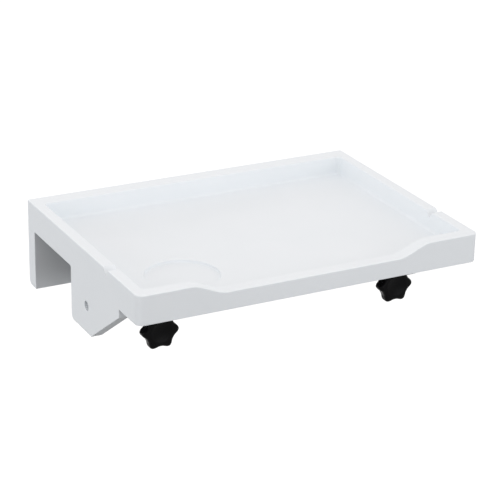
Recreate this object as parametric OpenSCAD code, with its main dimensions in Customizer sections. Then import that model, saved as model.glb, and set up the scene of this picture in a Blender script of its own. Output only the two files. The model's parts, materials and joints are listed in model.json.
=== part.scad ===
// Clip-on bedside shelf: a shallow tray with a rear jaw that hooks over a bed's side rail.
// Two star knobs drive threaded rods through the clamp beam and press padded cups on the rail.
// X runs along the front, Y towards the bed's far side, Z up. The origin is the middle of the
// rail seat, the part of the tray's underside that rests on the bed rail.

/* [Tray] */
// Width of the tray, side to side
tray_w = 380; // [340:5:460]
// Depth of the tray, front face to back face
tray_d = 280; // [260:5:340]
// Height of the tray walls, underside to rim
tray_h = 31; // [28:1:45]
// Thickness of the side boards and of the brackets below them
side_t = 12; // [12:0.5:18]
// Thickness of the front rail
front_t = 15; // [13:0.5:20]
// Thickness of the rear board
rear_t = 18; // [15:0.5:24]
// Thickness of the floor panel
floor_t = 10; // [9:0.5:13]
// Radius of the two front corners in plan
corner_r = 10; // [4:0.5:12]
// Thickness of the tongue round the floor panel
tongue_t = 5; // [3:0.5:6]
// Length of the tongue round the floor panel
tongue_l = 5; // [3:0.5:6]

/* [Front dip] */
// Depth of the dip in the front rail
dip_depth = 12; // [4:0.5:15]
// Width of the dip at half its depth
dip_w = 230; // [120:5:260]
// Length of each S-shaped end of the dip
dip_blend = 45; // [20:1:60]

/* [Cord notches] */
// Distance from the front face to the middle of the notches
notch_y = 74; // [50:1:120]
// Width of the notches at the rim
notch_w = 12; // [9:0.5:16]
// Depth of the notches
notch_depth = 6; // [4:0.5:8]
// Radius of the notches' bottom
notch_r = 1.2; // [0.5:0.1:2]

/* [Cup recess] */
// Diameter of the cup recess
cup_d = 76; // [60:1:90]
// Depth of the cup recess
cup_depth = 3; // [1:0.5:4]
// Distance from the left side to the middle of the recess
cup_x = 82; // [65:1:120]
// Distance from the front face to the middle of the recess
cup_y = 74.5; // [65:0.5:120]

/* [Hook and brackets] */
// Clear distance between the brackets and the rear jaw
hook_gap = 99; // [80:1:110]
// Reach of the rear jaw below the tray
jaw_drop = 65; // [62:1:90]
// Step by which the tray's rear wall stands in front of the jaw below it
jaw_step = 1; // [0.5:0.5:3]
// Radius of the rear jaw's back lower edge
jaw_r = 7; // [2:0.5:12]
// Reach of the brackets below the tray
bracket_drop = 57.5; // [56:0.5:62]
// Length of the brackets along the tray
bracket_len = 119.5; // [105:0.5:130]
// Length of the brackets' flat foot
bracket_foot = 50.5; // [40:0.5:70]
// Height of the brackets' upright front edge
bracket_lip = 8.5; // [4:0.5:16]
// Radius of the brackets' rear lower corner
bracket_r = 6; // [2:0.5:10]
// Radius of the inside corner where the brackets meet the rail seat
seat_r = 2.5; // [1:0.5:5]

/* [Clamp beam] */
// Thickness of the clamp beam
beam_t = 18; // [17:0.5:24]
// Reach of the clamp beam below the tray
beam_drop = 54; // [52:0.5:55]
// Depth of the housing in the floor that takes the beam's top edge
housing = 2; // [1:0.5:2.5]
// Width of the corner blocks behind the brackets
block_w = 20; // [16:0.5:22]
// Length of the corner blocks in front of the beam
block_l = 35; // [30:1:45]
// Height of the corner blocks
block_h = 28; // [26:1:32]

/* [Screws and dowels] */
// Diameter of the sunk hole in each bracket
bracket_hole_d = 10; // [8.5:0.5:12]
// Distance from the brackets' rear edge to their sunk hole
bracket_hole_back = 39.5; // [32:0.5:42]
// Distance from the tray's underside to the brackets' sunk hole
bracket_hole_drop = 28.1; // [24:0.1:32]
// Depth of wood left under a sunk screw head
screw_seat = 3; // [2:0.5:5]
// Diameter of the wood screws' shank
screw_d = 4; // [3:0.5:4.5]
// Diameter of the wood screws' head
screw_head_d = 8; // [6:0.1:8.2]
// Height of the wood screws' head
screw_head_h = 3.5; // [2:0.5:4]
// Length of the bracket screws under the head
bracket_screw_l = 20; // [15:1:21]
// Length of the block screws under the head
block_screw_l = 45; // [38:1:47]
// Distance between the two screws of one corner block
block_screw_gap = 14; // [13:0.5:16]
// Diameter of the dowels at the ends of the side boards
dowel_d = 6; // [4:0.5:6]
// Length of a dowel inside the board it enters endways
dowel_grip = 18; // [12:1:24]
// Wood left between a dowel hole and the far face
dowel_skin = 4; // [3:0.5:5]
// Distance from the rim to the upper corner dowel
dowel_edge = 7; // [6:0.5:8]
// Distance between the two dowels of one corner
dowel_gap = 8.5; // [8:0.5:9]
// Diameter of the dowels at the ends of the clamp beam
beam_dowel_d = 8; // [6:0.5:9]
// Distance between the two dowels at one end of the beam
beam_dowel_gap = 30; // [20:1:34]
// Distance between the dowels that join floor and beam
floor_dowel_gap = 90; // [60:5:100]
// Radial clearance of dowels and screws in their holes
glue_gap = 0.05; // [0.02:0.01:0.1]

/* [Clamp screws] */
// Distance from each side of the tray to the rod's axis
rod_inset = 54.5; // [54:0.5:80]
// Distance from the tray's underside to the rod's axis
rod_drop = 42.5; // [40:0.5:43]
// Thread diameter of the clamp rods
rod_d = 8; // [6:0.5:10]
// Length of the clamp rods up to the shoulder
rod_l = 119; // [105:1:125]
// Gap between pad face and rear jaw as drawn
rest_gap = 57; // [40:1:70]
// Diameter of the spigot that carries the pad
spigot_d = 6; // [4:0.5:6.5]
// Length of the spigot that stands past the clip
spigot_tip = 2; // [1:0.5:2.5]
// Radial clearance of turning parts
run_gap = 0.05; // [0.02:0.01:0.08]
// Clearance between turning faces along the axis
face_gap = 0.1; // [0.05:0.05:0.3]
// Outer diameter of the threaded inserts' body
insert_d = 12; // [12:0.5:14]
// Length of the threaded inserts' body
insert_l = 14; // [10:0.5:15]
// Diameter of the threaded inserts' flange
insert_flange_d = 18; // [16:0.5:20]
// Thickness of the threaded inserts' flange
insert_flange_t = 1.5; // [1:0.5:2.5]

/* [Star knobs] */
// Diameter over the lobes of the star knob
knob_d = 40; // [36:0.5:42]
// Diameter at the bottom of the knob's scallops
knob_root_d = 32.6; // [28:0.2:34]
// Number of lobes on the star knob
knob_lobes = 6; // [5:1:8]
// Thickness of the lobed part of the knob
knob_t = 11; // [8:0.5:14]
// Rounding of the lobes' edges
knob_edge = 3; // [1:0.5:4]
// Diameter of the hub behind the lobes
hub_d = 20; // [18:0.5:24]
// Length of the hub behind the lobes
hub_l = 10; // [6:0.5:14]
// Outer diameter of the bush in the knob
bush_d = 12; // [11.5:0.5:14]
// Length of the bush in the knob
bush_l = 14; // [10:0.5:15]

/* [Pads] */
// Diameter of the pad cup and of its rubber face
pad_d = 34; // [28:1:34]
// Diameter of the pad cup's neck
pad_neck_d = 22; // [20:0.5:26]
// Length of the pad cup
pad_cup_l = 10; // [9:0.5:14]
// Thickness of the wall at the back of the pad cup
pad_wall = 4; // [3:0.5:5]
// Diameter of the hollow in the pad cup
pad_bore_d = 16; // [14:0.5:18]
// Thickness of the rubber face
rubber_t = 4; // [2:0.5:8]
// Diameter of the thrust washer
washer_d = 14; // [12:0.5:18]
// Thickness of the thrust washer
washer_t = 1.2; // [0.8:0.1:2]
// Outer diameter of the retaining clip
clip_d = 10; // [8.5:0.5:12]
// Thickness of the retaining clip
clip_t = 1; // [0.6:0.1:1.2]
// Depth of the clip's groove in the spigot
clip_groove = 0.5; // [0.3:0.1:0.8]

/* [Hidden] */
$fn = 96;
eps = 1;

// Planes of the tray
side_x = tray_w / 2;
inner_x = side_x - side_t;
jaw_y = hook_gap / 2;
back_y = jaw_y + rear_t;
wall_y = jaw_y - jaw_step;
front_y = back_y - tray_d;
rail_y = front_y + front_t;
beam_back_y = -hook_gap / 2;
beam_front_y = beam_back_y - beam_t;
beam_mid_y = beam_back_y - beam_t / 2;
tongue_z = (floor_t - tongue_t) / 2;

// Places of the screws and corner blocks
hole_y = beam_back_y - bracket_hole_back;
hole_z = -bracket_hole_drop;
block_front_y = beam_front_y - block_l;
block_mid_x = inner_x - block_w / 2;
head_seat_x = inner_x + screw_seat;
upper_dowel_z = tray_h - dowel_edge;

// Stations along each clamp screw, from the pad back to the knob
rod_x = side_x - rod_inset;
pad_y = jaw_y - rest_gap;
cup_front_y = pad_y - rubber_t;
cup_back_y = cup_front_y - pad_cup_l;
washer_y = cup_back_y - face_gap - washer_t;
clip_y = cup_back_y + pad_wall + face_gap;
spigot_end_y = clip_y + clip_t + spigot_tip;
rod_front_y = washer_y - rod_l;
bush_back_y = rod_front_y + bush_l;
knob_back_y = bush_back_y;
knob_mid_y = knob_back_y - hub_l;
knob_front_y = knob_mid_y - knob_t;

// Colours
lacquer = [0.93, 0.94, 0.95];
beech = [0.80, 0.66, 0.48];
zinc = [0.72, 0.73, 0.74];
brass = [0.78, 0.64, 0.33];
black = [0.08, 0.08, 0.09];
rubber = [0.16, 0.16, 0.17];

// Runs its children on the left and, mirrored, on the right
module both_sides() {
    children();
    mirror([1, 0, 0]) children();
}

// A solid from a YZ outline, standing from x0 towards +X
module along_x(x0, length) {
    translate([x0, 0, 0]) rotate([90, 0, 90]) linear_extrude(length) children();
}

// A round bar along X
module bar_x(x0, y, z, length, d) {
    translate([x0, y, z]) rotate([0, 90, 0]) cylinder(h = length, d = d);
}

// A round bar along Y
module bar_y(x, y0, z, length, d) {
    translate([x, y0, z]) rotate([-90, 0, 0]) cylinder(h = length, d = d);
}

// A round bar along Z
module bar_z(x, y, z0, length, d) {
    translate([x, y, z0]) cylinder(h = length, d = d);
}

// Puts its children, drawn about the Z axis, on a clamp screw's axis
module on_screw(side, y) {
    translate([side * rod_x, y, -rod_drop]) rotate([-90, 0, 0]) children();
}

// The corner between two edges, minus a round: the cutter that rounds an outer corner
module round_cutter(r) {
    difference() {
        square(r + eps);
        circle(r = r);
    }
}

// The fillet that fills an inside corner
module fillet(r) {
    difference() {
        square(r);
        translate([r, r]) circle(r = r);
    }
}

// ---- Tray -------------------------------------------------------------------------------

// Floor panel: a tongue all round sits in the walls' grooves, the cup recess is in its top and
// a housing for the beam is in its underside, in front of the rail seat
module tray_floor() {
    depth = wall_y - rail_y;
    color(lacquer) difference() {
        union() {
            translate([-inner_x, rail_y, 0]) cube([2 * inner_x, depth, floor_t]);
            translate([-inner_x - tongue_l, rail_y - tongue_l, tongue_z])
                cube([2 * (inner_x + tongue_l), depth + 2 * tongue_l, tongue_t]);
        }
        translate([cup_x - side_x, cup_y + front_y, floor_t - cup_depth])
            cylinder(h = cup_depth + eps, d = cup_d);
        translate([-inner_x, beam_front_y, -eps]) cube([2 * inner_x, beam_t, housing + eps]);
        floor_dowel_set(glue_gap);
    }
}

// Space of the floor panel's tongue, cut from every wall
module tongue_space() {
    translate([-inner_x - tongue_l, rail_y - tongue_l, tongue_z])
        cube([2 * (inner_x + tongue_l), wall_y - rail_y + 2 * tongue_l, tongue_t]);
}

// Plan of the front rail with its two round corners
module rail_plan() {
    difference() {
        translate([-side_x, front_y]) square([tray_w, front_t]);
        for (side = [-1, 1])
            translate([side * (side_x - corner_r), front_y + corner_r])
                rotate(side > 0 ? -90 : 180) round_cutter(corner_r);
    }
}

// Height lost to the dip at a distance from the middle: a smooth S between rim and dip
function dip_share(x) = min(1, max(0, ((dip_w + dip_blend) / 2 - x) / dip_blend));
function dip_at(x) = dip_depth * (3 - 2 * dip_share(x)) * dip_share(x) * dip_share(x);

// Outline of the material that the dip takes off the rail, seen from the front
module dip_outline() {
    steps = 16;
    outer = (dip_w + dip_blend) / 2;
    right = [for (i = [0:steps]) outer - dip_blend * i / steps];
    rise = [for (x = right) [x, tray_h - dip_at(x)]];
    fall = [for (i = [steps:-1:0]) [-right[i], tray_h - dip_at(right[i])]];
    polygon(concat([[outer, tray_h + eps]], rise, fall, [[-outer, tray_h + eps]]));
}

// Front rail: round corners, the low dip along its middle and a groove for the floor
module front_rail() {
    color(lacquer) difference() {
        linear_extrude(tray_h) rail_plan();
        translate([0, rail_y + eps, 0]) rotate([90, 0, 0])
            linear_extrude(front_t + 2 * eps) dip_outline();
        tongue_space();
        front_dowel_set(glue_gap);
    }
}

// Outline of a side board with its bracket, in YZ
module side_outline() {
    bracket_front_y = beam_back_y - bracket_len;
    difference() {
        union() {
            translate([rail_y, 0]) square([wall_y - rail_y, tray_h]);
            polygon([
                [bracket_front_y, 0], [bracket_front_y, -bracket_lip],
                [beam_back_y - bracket_foot, -bracket_drop], [beam_back_y, -bracket_drop],
                [beam_back_y, 0]]);
            translate([beam_back_y, 0]) mirror([0, 1]) fillet(seat_r);
        }
        translate([beam_back_y - bracket_r, bracket_r - bracket_drop])
            rotate(-90) round_cutter(bracket_r);
        translate([front_y + notch_y, tray_h]) notch_outline();
    }
}

// Outline of a cord notch below the rim: a V with a round bottom
module notch_outline() {
    slope = atan2(notch_depth, notch_w / 2);
    centre = notch_r - notch_depth;
    bottom = [for (a = [-slope:slope / 4:slope]) [notch_r * sin(a), centre - notch_r * cos(a)]];
    polygon(concat([[-notch_w / 2, eps], [-notch_w / 2, 0]], bottom,
        [[notch_w / 2, 0], [notch_w / 2, eps]]));
}

// Left side board, one piece with the bracket below it
module side_board() {
    color(lacquer) difference() {
        along_x(-side_x, side_t) side_outline();
        tongue_space();
        front_dowel_set(glue_gap);
        rear_dowel_set(glue_gap);
        beam_dowel_set(glue_gap);
        bar_x(-side_x - eps, hole_y, hole_z, side_x - head_seat_x + eps, bracket_hole_d);
        bar_x(-side_x, hole_y, hole_z, side_t + eps, screw_d + 2 * glue_gap);
    }
}

module side_left() {
    side_board();
}

module side_right() {
    mirror([1, 0, 0]) side_board();
}

// Outline of the rear board in YZ: the tray's back wall, and the jaw that steps back below it
module rear_outline() {
    difference() {
        union() {
            translate([wall_y, 0]) square([back_y - wall_y, tray_h]);
            translate([jaw_y, -jaw_drop]) square([rear_t, jaw_drop]);
        }
        translate([back_y - jaw_r, jaw_r - jaw_drop]) rotate(-90) round_cutter(jaw_r);
    }
}

// Rear board: the tray's back wall, which reaches down as the fixed jaw
module rear_board() {
    color(lacquer) difference() {
        along_x(-side_x, tray_w) rear_outline();
        tongue_space();
        rear_dowel_set(glue_gap);
    }
}

// ---- Clamp beam and its corner blocks -----------------------------------------------------

// Cross beam between the brackets, drilled for the threaded inserts
module clamp_beam() {
    color(lacquer) difference() {
        translate([-inner_x, beam_front_y, -beam_drop])
            cube([2 * inner_x, beam_t, beam_drop + housing]);
        for (side = [-1, 1]) {
            on_screw(side, beam_front_y - eps) cylinder(h = insert_l + eps, d = insert_d);
            on_screw(side, beam_front_y) cylinder(h = beam_t + eps, d = rod_d + 1);
        }
        beam_dowel_set(glue_gap);
        floor_dowel_set(glue_gap);
        block_screw_set(glue_gap);
    }
}

// Block glued and screwed into the corner between bracket and beam
module corner_block(side) {
    block_x = side < 0 ? -inner_x : inner_x - block_w;
    color(lacquer) difference() {
        translate([block_x, block_front_y, hole_z - block_h / 2]) cube([block_w, block_l, block_h]);
        bracket_screw_set(glue_gap);
        block_screw_set(glue_gap);
    }
}

module corner_block_left() {
    corner_block(-1);
}

module corner_block_right() {
    corner_block(1);
}

// ---- Dowels and screws; each set is also its own cutter when it is given a gap --------------

// Dowels between the front rail and the side boards
module front_dowel_set(gap) {
    both_sides() for (z = [upper_dowel_z, upper_dowel_z - dowel_gap])
        bar_y(-side_x + side_t / 2, front_y + dowel_skin, z,
            front_t - dowel_skin + dowel_grip, dowel_d + 2 * gap);
}

// Dowels between the side boards and the rear board
module rear_dowel_set(gap) {
    both_sides() for (z = [upper_dowel_z, upper_dowel_z - dowel_gap])
        bar_y(-side_x + side_t / 2, wall_y - dowel_grip, z,
            back_y - wall_y - dowel_skin + dowel_grip, dowel_d + 2 * gap);
}

// Dowels between the brackets and the ends of the clamp beam
module beam_dowel_set(gap) {
    both_sides() for (step = [-1, 1])
        bar_x(-side_x + dowel_skin, beam_mid_y, (step * beam_dowel_gap - beam_drop) / 2,
            side_t - dowel_skin + dowel_grip, beam_dowel_d + 2 * gap);
}

// Dowels between the floor panel and the top of the clamp beam
module floor_dowel_set(gap) {
    for (i = [-1:1])
        bar_z(i * floor_dowel_gap, beam_mid_y, -dowel_grip,
            floor_t - dowel_skin + dowel_grip, dowel_d + 2 * gap);
}

// A wood screw about the Z axis, head down at z = 0, shank upwards
module wood_screw(length, gap) {
    translate([0, 0, -screw_head_h]) cylinder(h = screw_head_h, d = screw_head_d + 2 * gap);
    cylinder(h = length, d = screw_d + 2 * gap);
}

// Screws sunk in the brackets' holes, which hold the corner blocks
module bracket_screw_set(gap) {
    both_sides() translate([-head_seat_x, hole_y, hole_z]) rotate([0, 90, 0])
        wood_screw(bracket_screw_l, gap);
}

// Screws through the corner blocks into the clamp beam
module block_screw_set(gap) {
    both_sides() for (step = [-1, 1])
        translate([-block_mid_x, block_front_y + screw_head_h, hole_z + step * block_screw_gap / 2])
            rotate([-90, 0, 0]) wood_screw(block_screw_l, gap);
}

module bracket_screws() {
    color(zinc) bracket_screw_set(0);
}

module block_screws() {
    color(zinc) block_screw_set(0);
}

module front_dowels() {
    color(beech) front_dowel_set(0);
}

module rear_dowels() {
    color(beech) rear_dowel_set(0);
}

module beam_dowels() {
    color(beech) beam_dowel_set(0);
}

module floor_dowels() {
    color(beech) floor_dowel_set(0);
}

// ---- Clamp screws ---------------------------------------------------------------------------

// Flanged threaded insert in the beam's front face
module nut_insert(side) {
    color(brass) difference() {
        union() {
            on_screw(side, beam_front_y) cylinder(h = insert_l, d = insert_d);
            on_screw(side, beam_front_y - insert_flange_t)
                cylinder(h = insert_flange_t, d = insert_flange_d);
        }
        on_screw(side, beam_front_y - insert_flange_t - eps)
            cylinder(h = insert_l + insert_flange_t + 2 * eps, d = rod_d + 2 * run_gap);
    }
}

// Threaded rod with a shoulder, and a grooved spigot that carries the pad
module clamp_rod(side) {
    color(zinc) difference() {
        union() {
            on_screw(side, rod_front_y) cylinder(h = rod_l, d = rod_d);
            on_screw(side, washer_y) cylinder(h = spigot_end_y - washer_y, d = spigot_d);
        }
        on_screw(side, clip_y) difference() {
            cylinder(h = clip_t, d = spigot_d + eps);
            cylinder(h = clip_t, d = spigot_d - 2 * clip_groove);
        }
    }
}

// Radius of the star knob at an angle: narrow lobes between wider scallops
function star_swell(a) = pow((1 + cos(knob_lobes * a)) / 2, 1.5);
function star_r(a) = (knob_root_d + (knob_d - knob_root_d) * star_swell(a)) / 2;

// Half section of the round body that the lobed outline is cut from: domed front, soft edges
module knob_section() {
    lobe = knob_d / 2;
    face = lobe - knob_edge;
    polygon(concat(
        [[0, knob_t], [0, -0.6]],
        [[face * 0.5, -0.45]],
        [for (a = [90:-15:0]) [face + knob_edge * cos(a), knob_edge * (1 - sin(a))]],
        [for (a = [0:15:90]) [face + knob_edge * cos(a), knob_t - knob_edge * (1 - sin(a))]]));
}

// Moulded star knob with a hub behind, bored for its bush
module star_knob(side) {
    color(black) difference() {
        union() {
            on_screw(side, knob_front_y) intersection() {
                translate([0, 0, -eps]) linear_extrude(knob_t + 2 * eps)
                    polygon([for (a = [0:3:357]) star_r(a) * [cos(a), sin(a)]]);
                rotate_extrude() knob_section();
            }
            on_screw(side, knob_mid_y) cylinder(h = hub_l, d = hub_d);
        }
        on_screw(side, knob_back_y - bush_l) cylinder(h = bush_l + eps, d = bush_d);
    }
}

// Bush moulded into the knob, which holds the rod
module knob_bush(side) {
    color(brass) on_screw(side, bush_back_y - bush_l) difference() {
        cylinder(h = bush_l, d = bush_d);
        translate([0, 0, -eps]) cylinder(h = bush_l + 2 * eps, d = rod_d);
    }
}

// Washer between the rod's shoulder and the pad cup
module thrust_washer(side) {
    color(zinc) on_screw(side, washer_y) difference() {
        cylinder(h = washer_t, d = washer_d);
        translate([0, 0, -eps]) cylinder(h = washer_t + 2 * eps, d = spigot_d + 2 * run_gap);
    }
}

// Ring clip in the spigot's groove, which keeps the pad cup on
module pad_clip(side) {
    color(zinc) on_screw(side, clip_y) difference() {
        cylinder(h = clip_t, d = clip_d);
        translate([0, 0, -eps]) cylinder(h = clip_t + 2 * eps, d = spigot_d - 2 * clip_groove);
    }
}

// Cup that turns on the spigot and carries the rubber face
module pad_cup(side) {
    color(black) on_screw(side, cup_back_y) difference() {
        rotate_extrude() polygon([
            [0, 0], [pad_neck_d / 2, 0], [pad_d / 2, pad_cup_l - pad_wall],
            [pad_d / 2, pad_cup_l], [0, pad_cup_l]]);
        translate([0, 0, -eps]) cylinder(h = pad_cup_l, d = spigot_d + 2 * run_gap);
        translate([0, 0, pad_wall]) cylinder(h = pad_cup_l, d = pad_bore_d);
    }
}

// Rubber face glued to the cup
module pad_face(side) {
    color(rubber) on_screw(side, cup_front_y) cylinder(h = rubber_t, d = pad_d);
}

module nut_insert_left() { nut_insert(-1); }
module nut_insert_right() { nut_insert(1); }
module clamp_rod_left() { clamp_rod(-1); }
module clamp_rod_right() { clamp_rod(1); }
module star_knob_left() { star_knob(-1); }
module star_knob_right() { star_knob(1); }
module knob_bush_left() { knob_bush(-1); }
module knob_bush_right() { knob_bush(1); }
module thrust_washer_left() { thrust_washer(-1); }
module thrust_washer_right() { thrust_washer(1); }
module pad_clip_left() { pad_clip(-1); }
module pad_clip_right() { pad_clip(1); }
module pad_cup_left() { pad_cup(-1); }
module pad_cup_right() { pad_cup(1); }
module pad_face_left() { pad_face(-1); }
module pad_face_right() { pad_face(1); }

tray_floor();
front_rail();
side_left();
side_right();
rear_board();
clamp_beam();
corner_block_left();
corner_block_right();
bracket_screws();
block_screws();
front_dowels();
rear_dowels();
beam_dowels();
floor_dowels();
nut_insert_left();
nut_insert_right();
clamp_rod_left();
clamp_rod_right();
star_knob_left();
star_knob_right();
knob_bush_left();
knob_bush_right();
thrust_washer_left();
thrust_washer_right();
pad_clip_left();
pad_clip_right();
pad_cup_left();
pad_cup_right();
pad_face_left();
pad_face_right();
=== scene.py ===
# %% [markdown]
# # A clip-on bedside shelf, modelled in cells
#
# The shelf is a shallow lacquered tray whose rear board reaches down as a jaw. It hooks over a
# bed's side rail, and two star knobs drive threaded rods that press rubber-faced cups on it.
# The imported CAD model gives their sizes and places. Each cell below makes one piece or one finish
# in Blender's Python, and says what it is on the real object and why it is made that way.

# %% Load the fixed frame
import json
import math

import bmesh
import bpy
from mathutils import Matrix, Vector

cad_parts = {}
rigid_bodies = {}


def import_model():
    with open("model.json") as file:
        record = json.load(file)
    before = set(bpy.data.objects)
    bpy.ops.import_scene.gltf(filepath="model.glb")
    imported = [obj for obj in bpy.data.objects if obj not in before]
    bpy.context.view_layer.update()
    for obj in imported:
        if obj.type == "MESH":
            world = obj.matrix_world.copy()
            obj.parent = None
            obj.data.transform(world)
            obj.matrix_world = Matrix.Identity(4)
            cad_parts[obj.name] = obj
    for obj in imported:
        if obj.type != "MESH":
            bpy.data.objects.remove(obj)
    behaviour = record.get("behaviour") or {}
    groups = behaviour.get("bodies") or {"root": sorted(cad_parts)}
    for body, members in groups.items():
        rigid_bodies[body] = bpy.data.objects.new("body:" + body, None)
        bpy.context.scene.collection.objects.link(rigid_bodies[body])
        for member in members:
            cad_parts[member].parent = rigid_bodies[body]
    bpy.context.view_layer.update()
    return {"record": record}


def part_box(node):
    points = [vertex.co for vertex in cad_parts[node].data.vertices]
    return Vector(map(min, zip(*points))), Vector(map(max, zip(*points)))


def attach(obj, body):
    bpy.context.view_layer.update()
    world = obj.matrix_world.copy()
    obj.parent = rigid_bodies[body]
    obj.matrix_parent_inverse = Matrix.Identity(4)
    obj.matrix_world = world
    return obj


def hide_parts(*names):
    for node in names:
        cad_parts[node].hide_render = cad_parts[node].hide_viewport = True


for left_over in list(bpy.data.objects):
    bpy.data.objects.remove(left_over)
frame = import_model()
bpy.context.scene.view_settings.view_transform = "Standard"

# %% [markdown]
# ## The planes of the shelf
#
# A joiner marks a few planes on the bench and takes every other size from them. The same planes
# are read here from the CAD nodes' boxes and mounts, so nothing is measured twice. Roundings are
# small and belong to the finish, so they are given in millimetres.

# %% Read the planes
MM = 0.001
NEAR = 1e-6

mounts = {mount["name"]: mount for mount in frame["record"]["mounts"]}
side_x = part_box("rear_board")[1].x
inner_x = -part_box("side_left")[1].x
front_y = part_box("front_rail")[0].y
rail_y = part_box("front_rail")[1].y
wall_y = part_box("side_left")[1].y
back_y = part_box("rear_board")[1].y
jaw_y = mounts["rear_jaw"]["pos_m"][1]
rim_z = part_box("front_rail")[1].z
floor_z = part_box("tray_floor")[1].z
jaw_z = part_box("rear_board")[0].z
bracket_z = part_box("side_left")[0].z
beam_low, beam_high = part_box("clamp_beam")
beam_back_y, beam_front_y = beam_high.y, beam_low.y
print("tray", round(2 * side_x, 4), "x", round(back_y - front_y, 4), "x", round(rim_z, 4))

# %% [markdown]
# ## Helpers for meshes
#
# A `bmesh` is a mesh that is still being worked on. These helpers pick its edges by where they
# lie, turn it into an object, and keep the shading right: faces are smooth, edges sharper than
# 35 degrees stay sharp, and a Weighted Normal modifier keeps the large flat faces truly flat
# beside their small roundings. `fit` then puts a piece in the place of its plain CAD nodes.

# %% Mesh helpers
SHARP = math.radians(35)


def near(a, b):
    """True for two places less than a thousandth of a millimetre apart."""
    return abs(a - b) < NEAR


def edges_where(bm, test):
    """The edges whose two ends both pass the test."""
    return [e for e in bm.edges if all(test(v.co) for v in e.verts)]


def faces_where(bm, test):
    """The faces whose middles pass the test."""
    return [f for f in bm.faces if test(f.calc_center_median())]


def corners(bm, edges, radius, segments):
    """Rounds edges to a radius, in a number of flat steps."""
    bmesh.ops.bevel(bm, geom=edges, offset=radius, offset_type="OFFSET", segments=segments,
                    profile=0.5, affect="EDGES", clamp_overlap=False, material=-1)


def mesh_object(name, bm, material):
    """A finished bmesh as an object at the origin, with its sharp edges marked."""
    for face in bm.faces:
        face.smooth = True
    for edge in bm.edges:
        edge.smooth = not edge.is_manifold or edge.calc_face_angle() < SHARP
    mesh = bpy.data.meshes.new(name)
    bm.to_mesh(mesh)
    bm.free()
    piece = bpy.data.objects.new(name, mesh)
    bpy.context.scene.collection.objects.link(piece)
    mesh.materials.append(material)
    return piece


def fit(piece, body, slot, *nodes):
    """Rides a piece on its body, in place of its CAD nodes. slot is not used."""
    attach(piece, body)
    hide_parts(*nodes)
    flat = piece.modifiers.new("flat_faces", "WEIGHTED_NORMAL")
    flat.keep_sharp = True
    print(piece.name, "has", len(piece.data.polygons), "faces and rides on", body)


print("edges stay sharp above", round(math.degrees(SHARP)), "degrees")

# %% [markdown]
# ## Helpers for materials
#
# Colours are written as the hex values that a paint card gives, and one function turns them to
# the linear values that Cycles works in. One more adds a node with its settings and its links.
#
# Lacquer, metal and moulded plastic differ in colour, sheen and grain, but are built alike: a fine
# noise as bump gives the grain, and a wide one lets colour and roughness wander, because a surface
# of one even value looks like no real one. So one function takes their numbers.

# %% Material helpers
def linear(code):
    """A hex colour such as #F0F2F5 as linear RGBA."""
    parts = [int(code[i:i + 2], 16) / 255 for i in (1, 3, 5)]
    return [c / 12.92 if c <= 0.04045 else ((c + 0.055) / 1.055) ** 2.4 for c in parts] + [1]


def new_material(name):
    """A material with its node tree and its Principled shader."""
    material = bpy.data.materials.new(name)
    material.use_nodes = True
    return material, material.node_tree, material.node_tree.nodes["Principled BSDF"]


def add_node(tree, kind, settings=None, links=None):
    """Adds a node. settings are its properties and sockets, links are socket: source socket."""
    node = tree.nodes.new(kind)
    for key, value in (settings or {}).items():
        if isinstance(key, str) and hasattr(node, key):
            setattr(node, key, value)
        else:
            node.inputs[key].default_value = value
    for key, source in (links or {}).items():
        tree.links.new(source, node.inputs[key])
    return node


def grained(name, colours, roughness, grain, bump, patch, constants):
    """A finish with a fine grain, whose colour and roughness wander from patch to patch.

    grain is the width of one wave, bump its strength and depth, patch the width of a patch and
    its detail, and constants are the values that the shader's own sockets keep.
    """
    material, tree, shader = new_material(name)
    place = add_node(tree, "ShaderNodeTexCoord")
    fine = add_node(tree, "ShaderNodeTexNoise", {"Scale": 1 / grain, "Detail": 2.0},
                    {"Vector": place.outputs["Object"]})
    cloud = add_node(tree, "ShaderNodeTexNoise", {"Scale": 1 / patch[0], "Detail": patch[1]},
                     {"Vector": place.outputs["Object"]})
    relief = add_node(tree, "ShaderNodeBump", {"Strength": bump[0], "Distance": bump[1]},
                      {"Height": fine.outputs["Fac"]})
    rough = add_node(tree, "ShaderNodeMapRange", {"To Min": roughness[0], "To Max": roughness[1]},
                     {"Value": cloud.outputs["Fac"]})
    tint = add_node(tree, "ShaderNodeMix", {"data_type": "RGBA", 6: linear(colours[0]),
                                            7: linear(colours[1])}, {0: cloud.outputs["Fac"]})
    tree.links.new(tint.outputs[2], shader.inputs["Base Color"])
    tree.links.new(rough.outputs["Result"], shader.inputs["Roughness"])
    tree.links.new(relief.outputs["Normal"], shader.inputs["Normal"])
    for socket, value in constants.items():
        shader.inputs[socket].default_value = value
    print("made", name)
    return material


# %% [markdown]
# ## Satin white lacquer
#
# The boards are fibreboard, sprayed with white lacquer and rubbed down between coats. Sprayed
# lacquer levels to a soft satin sheen, with a faint orange peel of waves 2 to 3 mm across, and
# a roughness that wanders a little over a hand's width. All of it is very shallow. Rubbing down
# leaves a haze that breaks up the reflection, so the specular level is far below clear lacquer's.

# %% Lacquer
PEEL_WAVE = 2.4 * MM
SHEEN_WAVE = 60 * MM

lacquer = grained("satin_white_lacquer_sprayed", ("#EBF0F3", "#F0F4F7"), (0.44, 0.52),
                  grain=PEEL_WAVE, bump=(0.06, 0.1 * MM), patch=(SHEEN_WAVE, 3.0),
                  constants={"IOR": 1.48, "Specular IOR Level": 0.15})

# %% [markdown]
# ## The tray, from one block
#
# On the real shelf the boards are glued, filled and sanded before they are lacquered, so no seam
# shows. The tray could be made of five boxes, but their edges would never round into each other.
# So it is modelled as one body and sawn into boards at the end, where the cuts are flat and meet
# exactly. Only the left half is shaped: a flat sheet is raised to the floor's height, and the
# strips round it are raised again as walls.

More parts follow.
